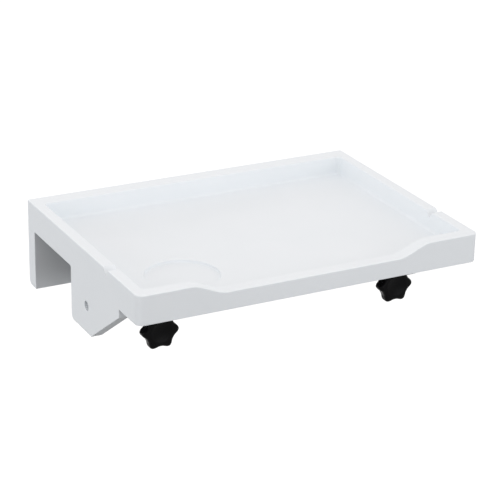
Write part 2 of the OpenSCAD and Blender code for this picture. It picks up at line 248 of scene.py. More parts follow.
# %% Raise the floor and the walls
def split(bm, faces, point, normal):
    """Cuts some faces along a plane, and leaves the rest of the mesh whole."""
    parts = {e for f in faces for e in f.edges} | {v for f in faces for v in f.verts}
    bmesh.ops.bisect_plane(bm, geom=list(faces) + list(parts), dist=NEAR, plane_co=point,
                           plane_no=normal)


def raise_faces(bm, faces, offset, keep=False):
    """Extrudes faces as one region and gives back the moved ones. keep leaves the old ones too."""
    made = bmesh.ops.extrude_face_region(bm, geom=faces)["geom"]
    if not keep:
        bmesh.ops.delete(bm, geom=faces, context="FACES")
    bmesh.ops.translate(bm, vec=offset, verts=[g for g in made if isinstance(g, bmesh.types.BMVert)])
    return [g for g in made if isinstance(g, bmesh.types.BMFace)]


def half_tray():
    """The left half of the floor slab, with its walls raised on three sides."""
    bm = bmesh.new()
    bmesh.ops.create_grid(bm, x_segments=1, y_segments=1, size=0.5)
    bmesh.ops.scale(bm, vec=(side_x, back_y - front_y, 1), verts=bm.verts)
    bmesh.ops.translate(bm, vec=(-side_x / 2, (back_y + front_y) / 2, 0), verts=bm.verts)
    raise_faces(bm, bm.faces[:], (0, 0, floor_z), keep=True)
    bmesh.ops.recalc_face_normals(bm, faces=bm.faces)
    top = faces_where(bm, lambda c: near(c.z, floor_z))
    split(bm, top, (-inner_x, 0, floor_z), (1, 0, 0))
    middle = faces_where(bm, lambda c: near(c.z, floor_z) and c.x > -inner_x)
    split(bm, middle, (0, rail_y, floor_z), (0, 1, 0))
    middle = faces_where(bm, lambda c: near(c.z, floor_z) and c.x > -inner_x and c.y > rail_y)
    split(bm, middle, (0, wall_y, floor_z), (0, 1, 0))
    strips = faces_where(bm, lambda c: near(c.z, floor_z)
                         and (c.x < -inner_x or c.y < rail_y or c.y > wall_y))
    raise_faces(bm, strips, (0, 0, rim_z - floor_z))
    return bm


body = half_tray()
print("half tray", len(body.verts), "corners")

# %% [markdown]
# ## The jaw and the brackets
#
# Jaw and brackets grow out of the underside the same way: their footprints are cut into its face
# and pulled down. The bracket's first pulls are small, and its rear edge moves forward with them
# on an arc, which leaves the fillet that strengthens the hook. The last one moves its front edge
# back, and gives the upright lip, the slant and the flat foot of its real outline.

# %% Pull down the jaw and the left bracket
bracket_front_y = beam_back_y - 119.5 * MM
foot_front_y = beam_back_y - 50.5 * MM
lip_z = -8.5 * MM
seat_r = 2.5 * MM
FILLET_STEPS = 5


def underside_where(bm, test):
    """The faces of the tray's underside whose middles pass the test."""
    return faces_where(bm, lambda c: near(c.z, 0) and test(c))


def pull_down(bm, faces, z, rear_y):
    """Pulls a level face down to z and moves its rear edge to rear_y."""
    faces = raise_faces(bm, faces, (0, 0, z - faces[0].verts[0].co.z))
    rear = max(v.co.y for v in faces[0].verts)
    for vertex in faces[0].verts:
        if near(vertex.co.y, rear):
            vertex.co.y = rear_y
    return faces


def add_jaw_and_bracket(bm):
    """Cuts the two footprints into the underside and pulls them down."""
    split(bm, underside_where(bm, lambda c: True), (0, jaw_y, 0), (0, 1, 0))
    raise_faces(bm, underside_where(bm, lambda c: c.y > jaw_y), (0, 0, jaw_z))
    split(bm, underside_where(bm, lambda c: True), (-inner_x, 0, 0), (1, 0, 0))
    for y in (beam_back_y + seat_r, bracket_front_y):
        split(bm, underside_where(bm, lambda c: c.x < -inner_x), (0, y, 0), (0, 1, 0))
    foot = underside_where(bm, lambda c: c.x < -inner_x
                           and bracket_front_y < c.y < beam_back_y + seat_r)
    for step in range(1, FILLET_STEPS + 1):
        turn = math.pi / 2 * step / FILLET_STEPS
        foot = pull_down(bm, foot, -seat_r * (1 - math.cos(turn)),
                         beam_back_y + seat_r * (1 - math.sin(turn)))
    foot = pull_down(bm, foot, lip_z, beam_back_y)
    foot = pull_down(bm, foot, bracket_z, beam_back_y)
    for vertex in foot[0].verts:
        if near(vertex.co.y, bracket_front_y):
            vertex.co.y = foot_front_y


add_jaw_and_bracket(body)
print("with jaw and bracket", len(body.faces), "faces")

# %% [markdown]
# ## Mirror the half
#
# The other half is a mirror image. The faces in the middle plane go first, so that the two halves
# join into one skin, and edges between faces of one plane are dissolved, because a bevel should
# only meet edges that are really there.

# %% Mirror and clean
FLAT = math.radians(0.1)


def whole_from_half(bm):
    """Mirrors the half and dissolves its flat edges, but keeps those across the rear rim.

    The rim goes all round the tray, and a ring can't be one face.
    """
    inside = [f for f in bm.faces if all(near(v.co.x, 0) for v in f.verts)]
    bmesh.ops.delete(bm, geom=inside, context="FACES")
    bmesh.ops.mirror(bm, geom=bm.verts[:] + bm.edges[:] + bm.faces[:], matrix=Matrix(),
                     merge_dist=NEAR, axis="X")
    bmesh.ops.recalc_face_normals(bm, faces=bm.faces)
    flat = [e for e in bm.edges if e.is_manifold and e.calc_face_angle() < FLAT
            and not all(near(v.co.z, rim_z) and v.co.y > 0 for v in e.verts)]
    bmesh.ops.dissolve_edges(bm, edges=flat, use_verts=True)


whole_from_half(body)
print("whole body", len(body.faces), "faces, open edges", sum(e.is_boundary for e in body.edges))

# %% [markdown]
# ## Soften the edges
#
# A router and a sanding block take every edge off, because lacquer runs thin over a sharp one.
# Large radii come first and small ones last, so that each small bevel runs over the large ones.
# Edges that meet at a corner are rounded in one go, and the corner becomes a piece of a ball.

# %% Radii, and the tests that find the edges
plan_r = 7.5 * MM
jaw_back_r = 7 * MM
bracket_back_r = 6 * MM
well_r = 4 * MM
cove_r = 3.5 * MM
rim_in_r = 1.5 * MM
edge_r = 1.2 * MM
lower_r = 0.6 * MM
SLIVER = 0.02 * MM


def in_well(c):
    """True on the tray's inner faces and on the rim's inner edge."""
    return (abs(c.x) < inner_x + NEAR and rail_y - NEAR < c.y < wall_y + NEAR
            and c.z > floor_z - NEAR)


def in_fillet_tip(c):
    """True on the inner end of the hook's fillet, which is too thin for a rounding."""
    return near(abs(c.x), inner_x) and beam_back_y + NEAR < c.y < jaw_y - NEAR


def is_convex_edge(edge):
    """True on an edge that is sharp and points outwards."""
    return edge.is_manifold and edge.calc_face_angle_signed() > SHARP


def upright(edge):
    """True on an edge that runs along Z."""
    a, b = (v.co for v in edge.verts)
    return near(a.x, b.x) and near(a.y, b.y)


def soften(bm):
    """Rounds corners seen from above, then jaw, foot and well, then the rim and what is left."""
    plan = [e for e in edges_where(bm, lambda c: near(c.y, front_y)) if upright(e)]
    corners(bm, plan, plan_r, segments=10)
    well = [e for e in edges_where(bm, in_well) if upright(e)]
    corners(bm, well, well_r, segments=6)
    jaw = edges_where(bm, lambda c: near(c.y, back_y) and near(c.z, jaw_z))
    corners(bm, jaw, jaw_back_r, segments=10)
    foot = edges_where(bm, lambda c: near(c.y, beam_back_y) and near(c.z, bracket_z))
    corners(bm, foot, bracket_back_r, segments=8)
    cove = edges_where(bm, lambda c: in_well(c) and near(c.z, floor_z))
    corners(bm, cove, cove_r, segments=6)
    rim = edges_where(bm, lambda c: in_well(c) and near(c.z, rim_z))
    corners(bm, rim, rim_in_r, segments=5)
    # The rim's outer edge and the rear board's, but not those of the jaw's inner face.
    outer = [e for e in bm.edges if is_convex_edge(e) and not any(in_well(v.co) for v in e.verts)]
    rear = [e for e in outer if all(v.co.z > rim_z - NEAR or v.co.y > jaw_y - NEAR
                                    and not near(v.co.z, 0) for v in e.verts)
            and not all(near(v.co.y, jaw_y) for v in e.verts)]
    corners(bm, rear, edge_r, segments=5)
    # Every sharp edge that is left under the tray.
    lower = [e for e in bm.edges if is_convex_edge(e) and not any(
        v.co.z > floor_z or in_fillet_tip(v.co) for v in e.verts)]
    corners(bm, lower, lower_r, segments=3)
    bmesh.ops.dissolve_degenerate(bm, dist=SLIVER, edges=bm.edges)


soften(body)
print("soft body", len(body.faces), "faces, open edges", sum(e.is_boundary for e in body.edges))

# %% [markdown]
# ## Saw the body into boards
#
# Each saw cut goes through a place where the surface is flat and already finished, just clear of
# the coves, so two boards meet without a step. `bisect_plane` throws away what lies beyond the
# plane, and the open cut is filled, so every board is a closed solid. The cuts lie 4 mm inside
# the joints of the CAD boards, and tongues and grooves aren't cut, because none of it shows.

# %% Saw
saw_front, saw_back, saw_x = rail_y + well_r, wall_y - well_r, inner_x - well_r


def sawn(*cuts):
    """A copy of the body without what lies beyond each plane, given as a point and a normal."""
    board = body.copy()
    for point, beyond in cuts:
        bmesh.ops.bisect_plane(board, geom=board.verts[:] + board.edges[:] + board.faces[:],
                               dist=NEAR, plane_co=point, plane_no=beyond, clear_outer=True)
        bmesh.ops.holes_fill(board, edges=[e for e in board.edges if e.is_boundary])
    return board


off_front = ((0, saw_front, 0), (0, -1, 0))
off_back = ((0, saw_back, 0), (0, 1, 0))
boards = {
    "rail": sawn(((0, saw_front, 0), (0, 1, 0))),
    "rear": sawn(((0, saw_back, 0), (0, -1, 0))),
    "left": sawn(off_front, off_back, ((-saw_x, 0, 0), (1, 0, 0))),
    "right": sawn(off_front, off_back, ((saw_x, 0, 0), (-1, 0, 0))),
    "floor": sawn(off_front, off_back, ((-saw_x, 0, 0), (-1, 0, 0)), ((saw_x, 0, 0), (1, 0, 0))),
}
body.free()
print({name: (len(bm.faces), sum(e.is_boundary for e in bm.edges)) for name, bm in boards.items()})

# %% [markdown]
# ## The dip in the front rail
#
# The rail is lower along its middle, so that a hand can slide a book out. A jigsaw follows an
# S-shaped line there. The finished rim is cut across at many stations, and everything above
# mid-height sinks by a smooth step, so the rounded edge stays whole on the way down.

# %% Sink the rim
dip_depth = 12 * MM
dip_half = 115 * MM
dip_blend = 40 * MM
DIP_STATIONS = 20


def dip_at(x):
    """How far the rim lies lower at x: all of the depth in the middle, and a smooth end."""
    share = min(1, max(0, (dip_half + dip_blend / 2 - abs(x)) / dip_blend))
    return dip_depth * share * share * (3 - 2 * share)


def sink_rim(bm):
    """Cuts the rail at the stations of both ends of the dip, and lowers its upper half."""
    start = dip_half - dip_blend / 2
    for side in (-1, 1):
        for i in range(DIP_STATIONS + 1):
            bmesh.ops.bisect_plane(bm, geom=bm.verts[:] + bm.edges[:] + bm.faces[:], dist=NEAR,
                                   plane_co=(side * (start + dip_blend * i / DIP_STATIONS), 0, 0),
                                   plane_no=(1, 0, 0))
    for vertex in bm.verts:
        if vertex.co.z > (floor_z + rim_z) / 2:
            vertex.co.z -= dip_at(vertex.co.x)


sink_rim(boards["rail"])
print("rim lowered by", round(dip_at(0) / MM, 1), "mm")

# %% [markdown]
# ## Turned shapes and exact cuts
#
# Holes, the cup recess, knobs, washers and rods are all round. A lathe makes such a shape from a
# half-section, and so does `spin`: the section is a wire of edges, whose corners are rounded by a
# bevel of their vertices before it is spun. A Boolean with the exact solver then works like a
# drill or a cutter, and its result is taken over at once, so no modifier is left. Removing
# the two helper meshes removes their objects with them.

# %% Lathe and cutter
TO_REAR = Matrix.Rotation(-math.pi / 2, 4, "X")
TO_RIGHT = Matrix.Rotation(math.pi / 2, 4, "Y")
LATHE_STEPS = 64


def turned(points, segments=LATHE_STEPS):
    """Spins a half-section about Z. A point is (radius, height, rounding), in millimetres."""
    bm = bmesh.new()
    ring = [bm.verts.new((point[0] * MM, 0, point[1] * MM)) for point in points]
    for start, end in zip(ring, ring[1:]):
        bm.edges.new((start, end))
    if points[0][0]:
        bm.edges.new((ring[-1], ring[0]))
    for vertex, point in zip(ring, points):
        if len(point) > 2:
            bmesh.ops.bevel(bm, geom=[vertex], offset=point[2] * MM, offset_type="OFFSET",
                            segments=4, profile=0.5, affect="VERTICES", material=-1)
    bmesh.ops.spin(bm, geom=bm.verts[:] + bm.edges[:], cent=(0, 0, 0), axis=(0, 0, 1),
                   angle=2 * math.pi, steps=segments, use_merge=True)
    bmesh.ops.remove_doubles(bm, verts=bm.verts, dist=NEAR)
    bmesh.ops.recalc_face_normals(bm, faces=bm.faces)
    return bm


def add_copy(bm, part, matrix):
    """Adds a moved copy of a part to a bmesh."""
    copy = bpy.data.meshes.new("copy")
    part.to_mesh(copy)
    copy.transform(matrix)
    bm.from_mesh(copy)
    bpy.data.meshes.remove(copy)


def moved(part, matrix):
    """Moves a part and gives it back."""
    part.transform(matrix)
    return part


def carve(bm, *cutters):
    """Takes closed cutters out of a bmesh, one after the other."""
    for cutter in cutters:
        blank, tool = (bpy.data.objects.new(name, bpy.data.meshes.new(name))
                       for name in ("blank", "tool"))
        bm.to_mesh(blank.data)
        cutter.to_mesh(tool.data)
        for thing in (blank, tool):
            bpy.context.scene.collection.objects.link(thing)
        boolean = blank.modifiers.new("cut", "BOOLEAN")
        boolean.operation, boolean.solver, boolean.object = "DIFFERENCE", "EXACT", tool
        bm.clear()
        bm.from_object(blank, bpy.context.evaluated_depsgraph_get())
        for thing in (blank, tool):
            bpy.data.meshes.remove(thing.data)
    return bm


print("the lathe takes", LATHE_STEPS, "steps where a cell gives no other number")

# %% [markdown]
# ## Cup recess, cord notches and screw holes
#
# A router cuts the recess with a rounded bit, which leaves a small cove round its bottom, and
# sanding takes the lip off. The notches are a V with a round bottom. The brackets' holes are wide
# enough for a screwdriver as far as the screw's head, and narrow behind it. They could be modelled
# into the boards' faces, but a cutter keeps each hole's own outline, so they are carved.

# %% Carve the boards
cup = mounts["cup_recess"]
cup_r, cup_depth = cup["dims"]["r_mm"], cup["dims"]["length_mm"]
notch_y = -138.5 * MM
side_mid_x = (side_x + inner_x) / 2
screws_low, screws_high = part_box("bracket_screws")
hole_place = Vector((side_x, (screws_low.y + screws_high.y) / 2,
                     (screws_low.z + screws_high.z) / 2))
LIP_R, COVE_R = 0.9, 1.5
NOTCH_HALF, NOTCH_DEPTH, NOTCH_TIP_R = 6.1, 7.3, 0.8


def cup_cutter():
    """The recess, its height 0 on the tray's floor, with a wide flare that breaks its lip."""
    flare = cup_r + 8
    recess = turned([(0, -cup_depth), (cup_r, -cup_depth, COVE_R), (cup_r, 0, LIP_R), (flare, 0.6),
                     (flare, 3), (0, 3)], 128)
    return moved(recess, Matrix.Translation(cup["pos_m"]))


def notch_cutter(side):
    """A V with a round bottom across a side board, widening a little at the rim."""
    bm = bmesh.new()
    flare = NOTCH_HALF + 0.9
    outline = [(-flare, 1), (-NOTCH_HALF, 0.1), (0, -NOTCH_DEPTH), (NOTCH_HALF, 0.1), (flare, 1)]
    ring = [bm.verts.new((0, y * MM, z * MM)) for y, z in outline]
    bm.faces.new(ring)
    bmesh.ops.bevel(bm, geom=[ring[2]], offset=NOTCH_TIP_R * MM, offset_type="OFFSET", segments=6,
                    profile=0.5, affect="VERTICES", material=-1)
    length = 20 * MM
    raise_faces(bm, bm.faces[:], (length, 0, 0), keep=True)
    bmesh.ops.recalc_face_normals(bm, faces=bm.faces)
    return moved(bm, Matrix.Translation((side * side_mid_x - length / 2, notch_y, rim_z)))


def bracket_drill(side):
    """The stepped drill for a bracket's screw: 10 mm wide to the head's seat, 4.1 mm behind."""
    drill = turned([(0, -1), (6.3, -1), (5, 0.3), (5, 9), (2.05, 9), (2.05, 14), (0, 14)], 48)
    drill.transform(Matrix.Rotation(-side * math.pi / 2, 4, "Y"))
    return moved(drill, Matrix.Translation((side * hole_place.x, hole_place.y, hole_place.z)))


carve(boards["floor"], cup_cutter())
for name, side in (("left", -1), ("right", 1)):
    carve(boards[name], notch_cutter(side), bracket_drill(side))
print({name: len(bm.faces) for name, bm in boards.items()})

# %% [markdown]
# ## The boards as objects
#
# A bmesh shows nothing by itself. Each board becomes an object with the lacquer on it, rides on the
# shelf's body, and takes the place of the plain CAD board of the same name.

# %% Make the boards' objects
for name, node in (("rail", "front_rail"), ("rear", "rear_board"), ("left", "side_left"),
                   ("right", "side_right"), ("floor", "tray_floor")):
    fit(mesh_object(node + "_lacquered", boards[name], lacquer), "shelf", "lacquered_board", node)

# %% [markdown]
# ## Clamp beam and corner blocks
#
# Behind the brackets a solid beam takes the push of the clamp screws, and a block in each corner
# stiffens it. On the real shelf they are sawn, sanded and lacquered with the rest. A box with its
# edges rounded is the right shape for sawn timber, and its holes are drilled where the rods run.
# The beam's top edge stands 2 mm up inside the floor, where no housing is cut for it here.

# %% Beam and blocks
beam_edge_r = 1.5 * MM
block_screw_step = 7 * MM
pad_low, pad_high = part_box("pad_face_right")
rod_x, rod_z = (pad_low.x + pad_high.x) / 2, (pad_low.z + pad_high.z) / 2


def sawn_block(low, high, radius):
    """A block of wood between two corners, with its edges rounded."""
    bm = bmesh.new()
    bmesh.ops.create_cube(bm, size=1)
    bmesh.ops.scale(bm, vec=high - low, verts=bm.verts)
    bmesh.ops.translate(bm, vec=(low + high) / 2, verts=bm.verts)
    corners(bm, bm.edges[:], radius, segments=4)
    return bm


beam = sawn_block(beam_low, beam_high, beam_edge_r)
for side in (-1, 1):
    bore = turned([(0, -2), (7.5, -2), (6, 0.5), (6, 14), (4.5, 14), (4.5, 16.5), (7, 20), (0, 20)])
    carve(beam, moved(bore, Matrix.Translation((side * rod_x, beam_front_y, rod_z)) @ TO_REAR))
fit(mesh_object("clamp_beam_lacquered", beam, lacquer), "shelf", "lacquered_board", "clamp_beam")

for name in ("left", "right"):
    low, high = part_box("corner_block_" + name)
    block = sawn_block(low, high, beam_edge_r)
    for step in (-1, 1):
        hole = turned([(0, -1), (5.3, -1), (4.1, 0.2), (4.1, 3.5), (2.1, 3.5), (2.1, 40), (0, 40)])
        carve(block, moved(hole, Matrix.Translation(
            ((low.x + high.x) / 2, low.y, hole_place.z + step * block_screw_step)) @ TO_REAR))
    fit(mesh_object(f"corner_block_{name}_lacquered", block, lacquer), "shelf",
        "lacquered_board", "corner_block_" + name)

# %% [markdown]
# ## Metals
#
# Bright zinc plate is a thin bluish-white metal film on turned steel: it mirrors softly, with a
# blur along the turning marks. Brass is turned from bar, warmer and a little duller. Both get a
# fine noise whose grain is as coarse as a render can show.

# %% Metals
TURNING_MARK = 0.5 * MM
HANDLING_PATCH = 9 * MM


def turned_metal(name, colours, roughness):
    return grained(name, colours, roughness, grain=TURNING_MARK, bump=(0.12, 0.02 * MM),
                   patch=(HANDLING_PATCH, 3.0), constants={"Metallic": 1.0})


zinc = turned_metal("bright_zinc_plated_steel", ("#C9CDD2", "#B4B9C0"), (0.22, 0.36))
brass = turned_metal("turned_brass", ("#CDAA5A", "#B08C42"), (0.24, 0.38))

# %% [markdown]
# ## Moulded black plastic and rubber
#
# The knobs are moulded in glass-filled nylon, in a tool whose walls were sparked to a fine grain:
# near black, with a broad soft highlight. The pad faces are moulded rubber, duller and rougher.
# Both scatter most of what they would mirror, so their specular level is very low. Their grain is
# drawn a few times coarser than it is, or it would not show.

# %% Plastic and rubber
SPARK_GRAIN = 0.45 * MM
RUBBER_GRAIN = 0.8 * MM


def moulded(name, colours, roughness, grain, bump_strength):
    return grained(name, colours, roughness, grain=grain, bump=(bump_strength, 0.05 * MM),
                   patch=(HANDLING_PATCH, 2.0), constants={"Specular IOR Level": 0.05})


black_nylon = moulded("black_nylon_moulded_fine_grain", ("#0E0E0F", "#09090A"), (0.24, 0.32),
                      SPARK_GRAIN, 0.25)
rubber = moulded("black_rubber_moulded", ("#222224", "#1A1A1C"), (0.68, 0.85), RUBBER_GRAIN, 0.5)

# %% [markdown]
# ## Beech for the dowels
#
# Dowel rod is turned beech: pale pinkish brown, with short darker rays along the grain. The grain
# runs along the rod, so the noise is stretched that way, and each set of dowels gives its own
# direction.

# %% Beech
RAY_WIDTH = 0.7 * MM
RAY_LENGTH = 6 * MM


def turned_beech(axis):
    """Beech whose grain runs along one axis, given as 0, 1 or 2."""
    material, tree, shader = new_material("turned_beech_along_" + "xyz"[axis])
    stretch = [1 / RAY_WIDTH] * 3
    stretch[axis] = 1 / RAY_LENGTH
    place = add_node(tree, "ShaderNodeTexCoord")
    grain = add_node(tree, "ShaderNodeMapping", {"Scale": stretch},
                     {"Vector": place.outputs["Object"]})
    rays = add_node(tree, "ShaderNodeTexNoise", {"Scale": 1.0, "Detail": 3.0},
                    {"Vector": grain.outputs["Vector"]})
    tint = add_node(tree, "ShaderNodeMix", {"data_type": "RGBA", 6: linear("#DDB98C"),
                                            7: linear("#B98C5C")}, {0: rays.outputs["Fac"]})
    bump = add_node(tree, "ShaderNodeBump", {"Strength": 0.3, "Distance": 0.1 * MM},
                    {"Height": rays.outputs["Fac"]})
    tree.links.new(tint.outputs[2], shader.inputs["Base Color"])
    tree.links.new(bump.outputs["Normal"], shader.inputs["Normal"])
    shader.inputs["Roughness"].default_value = 0.62
    print("made", material.name)
    return material


# %% [markdown]
# ## Dowels
#
# A dowel has shallow flutes along it, which let the glue and the air out of its hole, and
# chamfered ends, which help it in. A circle with every second pair of points pushed in is raised
# to the dowel's length, and its end edges are bevelled flat. No hole is drilled for the dowels or
# for the points of the screws, so they stand in solid wood, where nobody sees them.

# %% Dowels
FLUTES = 16
FLUTE_DEPTH = 0.3 * MM
DOWEL_CHAMFER = 0.25 * MM
beam_mid_y = (beam_back_y + beam_front_y) / 2


def fluted_dowel(diameter, length):
    """A dowel about Z, from 0 upwards."""
    bm = bmesh.new()
    bmesh.ops.create_circle(bm, cap_ends=True, segments=4 * FLUTES, radius=diameter / 2)
    for i, vertex in enumerate(bm.verts):
        if i % 4 > 1:
            vertex.co *= 1 - 2 * FLUTE_DEPTH / diameter
    raise_faces(bm, bm.faces[:], (0, 0, length), keep=True)
    bmesh.ops.recalc_face_normals(bm, faces=bm.faces)
    ends = [e for e in bm.edges if near(*(v.co.z for v in e.verts))]
    corners(bm, ends, DOWEL_CHAMFER, segments=1)
    return bm


def dowel_set(node, axis, turn, diameter, length, places):
    """Dowels of one size, turned from Z by a matrix and moved to their places."""
    bm = bmesh.new()
    dowel = fluted_dowel(diameter * MM, length * MM)
    for place in places:
        add_copy(bm, dowel, Matrix.Translation(place) @ turn)
    fit(mesh_object(node + "_fluted", bm, turned_beech(axis)), "shelf", "beech_dowel", node)


dowel_heights = (rim_z - 7 * MM, rim_z - 15.5 * MM)
dowel_set("front_dowels", 1, TO_REAR, diameter=6, length=29, places=[
    (x, front_y + 4 * MM, z) for x in (-side_mid_x, side_mid_x) for z in dowel_heights])
dowel_set("rear_dowels", 1, TO_REAR, diameter=6, length=33, places=[
    (x, wall_y - 18 * MM, z) for x in (-side_mid_x, side_mid_x) for z in dowel_heights])
dowel_set("beam_dowels", 0, TO_RIGHT, diameter=8, length=26, places=[
    (x, beam_mid_y, z) for x in (4 * MM - side_x, side_x - 30 * MM) for z in (-12 * MM, -42 * MM)])
dowel_set("floor_dowels", 2, Matrix(), diameter=6, length=24, places=[
    (x, beam_mid_y, -18 * MM) for x in (-90 * MM, 0, 90 * MM)])

# %% [markdown]
# ## Screw threads
#
# A thread is one pitch of its profile, carried once round the axis while it climbs by one pitch:
# `spin` does that with its `dvec` offset. Copies of that turn are stacked, each a pitch higher, and
# merged where their rows meet, so they give one skin. The ragged ends are cut off flat and filled.
# The rods have a real M8 thread with 1.25 mm pitch, right-handed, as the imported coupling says.

# %% Thread
THREAD_STEPS = 28


def threaded(root, crest, pitch, low, high):
    """A closed threaded bar about Z between two heights, all in millimetres."""
    bm = bmesh.new()
    profile = [(root, 0), (root, 0.25), (crest, 0.56), (crest, 0.69), (root, 1)]
    ring = [bm.verts.new((r * MM, 0, (low - pitch + share * pitch) * MM)) for r, share in profile]
    for start, end in zip(ring, ring[1:]):
        bm.edges.new((start, end))
    bmesh.ops.spin(bm, geom=bm.verts[:] + bm.edges[:], cent=(0, 0, 0), axis=(0, 0, 1),
                   dvec=(0, 0, pitch * MM / THREAD_STEPS), angle=2 * math.pi, steps=THREAD_STEPS)
    one_turn = bm.copy()
    for turn in range(1, math.ceil((high - low) / pitch) + 2):
        add_copy(bm, one_turn, Matrix.Translation((0, 0, turn * pitch * MM)))
    bmesh.ops.remove_doubles(bm, verts=bm.verts, dist=5 * NEAR)
    for height, beyond in ((low, -1), (high, 1)):
        bmesh.ops.bisect_plane(bm, geom=bm.verts[:] + bm.edges[:] + bm.faces[:], dist=NEAR,
                               plane_co=(0, 0, height * MM), plane_no=(0, 0, beyond),
                               clear_outer=True)
        bmesh.ops.holes_fill(bm, edges=[e for e in bm.edges if e.is_boundary
                                        and near(e.verts[0].co.z, height * MM)])
    bmesh.ops.recalc_face_normals(bm, faces=bm.faces)
    return bm


print("a thread's turn has", THREAD_STEPS, "steps")

# %% [markdown]
# ## Wood screws
#
# The screws in the brackets and the corner blocks sit deep in their holes: a round head with a
# cross recess, and a coarse thread with a point. The recess is two crossed wedges carved into the
# head, and the point is the thread's end, drawn in towards the axis.

# %% Wood screws
HEAD_H = 3.5
RECESS_DEPTH = 2
RECESS_SIZE = Vector((4.8, 0.9, 2.4))
RECESS_TAPER = 0.45
RECESS_TURN = 0.4
POINT_L = 5


def cross_wedge(turn):
    """One blade of the cross recess, narrower below, which stands a little out of the head."""
    bm = bmesh.new()
    bmesh.ops.create_cube(bm, size=1)
    bmesh.ops.scale(bm, vec=RECESS_SIZE * MM, verts=bm.verts)
    for vertex in bm.verts:
        if vertex.co.z > 0:
            vertex.co.x *= RECESS_TAPER
    bottom = RECESS_DEPTH - HEAD_H
    bmesh.ops.translate(bm, vec=(0, 0, (bottom - RECESS_SIZE.z / 2) * MM), verts=bm.verts)
    return moved(bm, Matrix.Rotation(turn, 4, "Z"))


def wood_screw(length):
    """A screw about Z: its head below z = 0, its shank above."""
    head = turned([(0, -HEAD_H), (3.1, -3.4, 0.6), (4, -2.2, 0.8), (4, 0, 0.3), (1.9, 0), (1.9, 5),
                   (0, 5)], 48)
    carve(head, cross_wedge(RECESS_TURN), cross_wedge(RECESS_TURN + math.pi / 2))
    shank = threaded(root=1.35, crest=2.0, pitch=1.6, low=4, high=length)
    for vertex in shank.verts:
        point = max(0, vertex.co.z / MM - (length - POINT_L)) / POINT_L
        vertex.co.xy *= 1 - 0.9 * point
    add_copy(head, shank, Matrix())
    return head


def screw_set(node, length, matrices):
    """Screws of one length, each laid in its place by a matrix."""
    bm = bmesh.new()
    screw = wood_screw(length)
    for matrix in matrices:
        add_copy(bm, screw, matrix)
    fit(mesh_object(node + "_cross_head", bm, zinc), "shelf", "zinc_plated_steel", node)


head_seat_x = inner_x + 3 * MM
screw_set("bracket_screws", 20, [
    Matrix.Translation((side * head_seat_x, hole_place.y, hole_place.z))
    @ Matrix.Rotation(-side * math.pi / 2, 4, "Y") for side in (-1, 1)])
block_mid_x = sum(corner.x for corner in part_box("corner_block_right")) / 2
screw_set("block_screws", 45, [
    Matrix.Translation((side * block_mid_x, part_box("block_screws")[0].y + HEAD_H * MM,
                        hole_place.z + step * block_screw_step)) @ TO_REAR
    for side in (-1, 1) for step in (-1, 1)])

# %% [markdown]
# ## Clamp screws, from the knob to the pad
#
# Everything on a clamp screw is turned about the rod's axis, so each part is made about Z, from 0
# upwards, and one matrix lays it along the rod, where its CAD node begins. A mirrored thread
# would be left-handed, so the right parts are moved copies, not mirrored ones.

# %% Rods, inserts, bushes, washers and clips
def on_rod(part, node, side):
    """Lays a part along the rod on one side, its height 0 where the CAD node begins."""
    return moved(part, Matrix.Translation((side * rod_x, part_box(node)[0].y, rod_z)) @ TO_REAR)


def clamp_rod():
    """An M8 thread, a plain shoulder, and the thinner spigot with the clip's groove."""
    rod = threaded(root=3.32, crest=4.0, pitch=1.25, low=0, high=110)
    add_copy(rod, turned([(0, 109.5), (3.3, 109.5), (4, 110.2), (4, 119, 0.4), (3, 119), (3, 124.4),
                          (2.5, 124.4), (2.5, 125.4), (3, 125.4), (3, 127.4, 0.5), (0, 127.4)]),
             Matrix())
    return rod


def nut_insert():
    """The flange and the barbed body of an insert, which grips the wood."""
    section = [(4.9, 0), (8.9, 0, 0.6), (9, 1.5, 0.2), (6, 1.5)]
    for barb in (2.2, 5.2, 8.2, 11.2):
        section += [(5.3, barb), (6, barb + 2.2), (5.3, barb + 2.5)]
    return turned(section + [(5.6, 15.5, 0.3), (4.05, 15.5), (4.05, 0.9)])


def pad_cup():
    """The cup that swivels on the spigot, and holds the rubber disc."""
    return turned([(3.05, 0), (11, 0, 0.8), (11.6, 0.9, 0.5), (17, 6.1, 1.2), (17, 10, 0.4), (8, 10),
                   (8, 4, 0.5), (3.05, 4)])


def pad_face():
    """The rubber disc, with three ring grooves that grip the rail."""
    section = [(0, 0), (16.8, 0, 0.3), (17, 4, 0.9)]
    for groove in (13.5, 9.5, 5.5):
        section += [(groove + 0.8, 4, 0.2), (groove + 0.5, 3.2), (groove - 0.5, 3.2),
                    (groove - 0.8, 4, 0.2)]
    return turned(section + [(0, 4)])


def washer_like(inner, outer, length, rounding):
    """A ring, such as a bush, a washer or a clip."""
    return turned([(inner, 0), (outer, 0, rounding), (outer, length, rounding), (inner, length)])


ROUND_PARTS = (
    ("clamp_rod", "_threaded", clamp_rod, zinc, "screw", "zinc_plated_steel"),
    ("nut_insert", "_barbed", nut_insert, brass, None, "brass"),
    ("knob_bush", "_turned", lambda: washer_like(4, 6, 14, 0.4), brass, "screw", "brass"),
    ("thrust_washer", "_turned", lambda: washer_like(3.05, 7, 1.2, 0.3), zinc, "screw",
     "zinc_plated_steel"),
    ("pad_clip", "_ring", lambda: washer_like(2.5, 5, 1, 0.25), zinc, "screw",
     "zinc_plated_steel"),
    ("pad_cup", "_moulded", pad_cup, black_nylon, "pad", "black_knob"),
    ("pad_face", "_grooved", pad_face, rubber, "pad", "pad_rubber"),
)
for kind, ending, make, material, rider, slot in ROUND_PARTS:
    for name, side in (("left", -1), ("right", 1)):
        node = f"{kind}_{name}"
        fit(mesh_object(node + ending, on_rod(make(), node, side), material),
            f"{name}_{rider}" if rider else "shelf", slot, node)

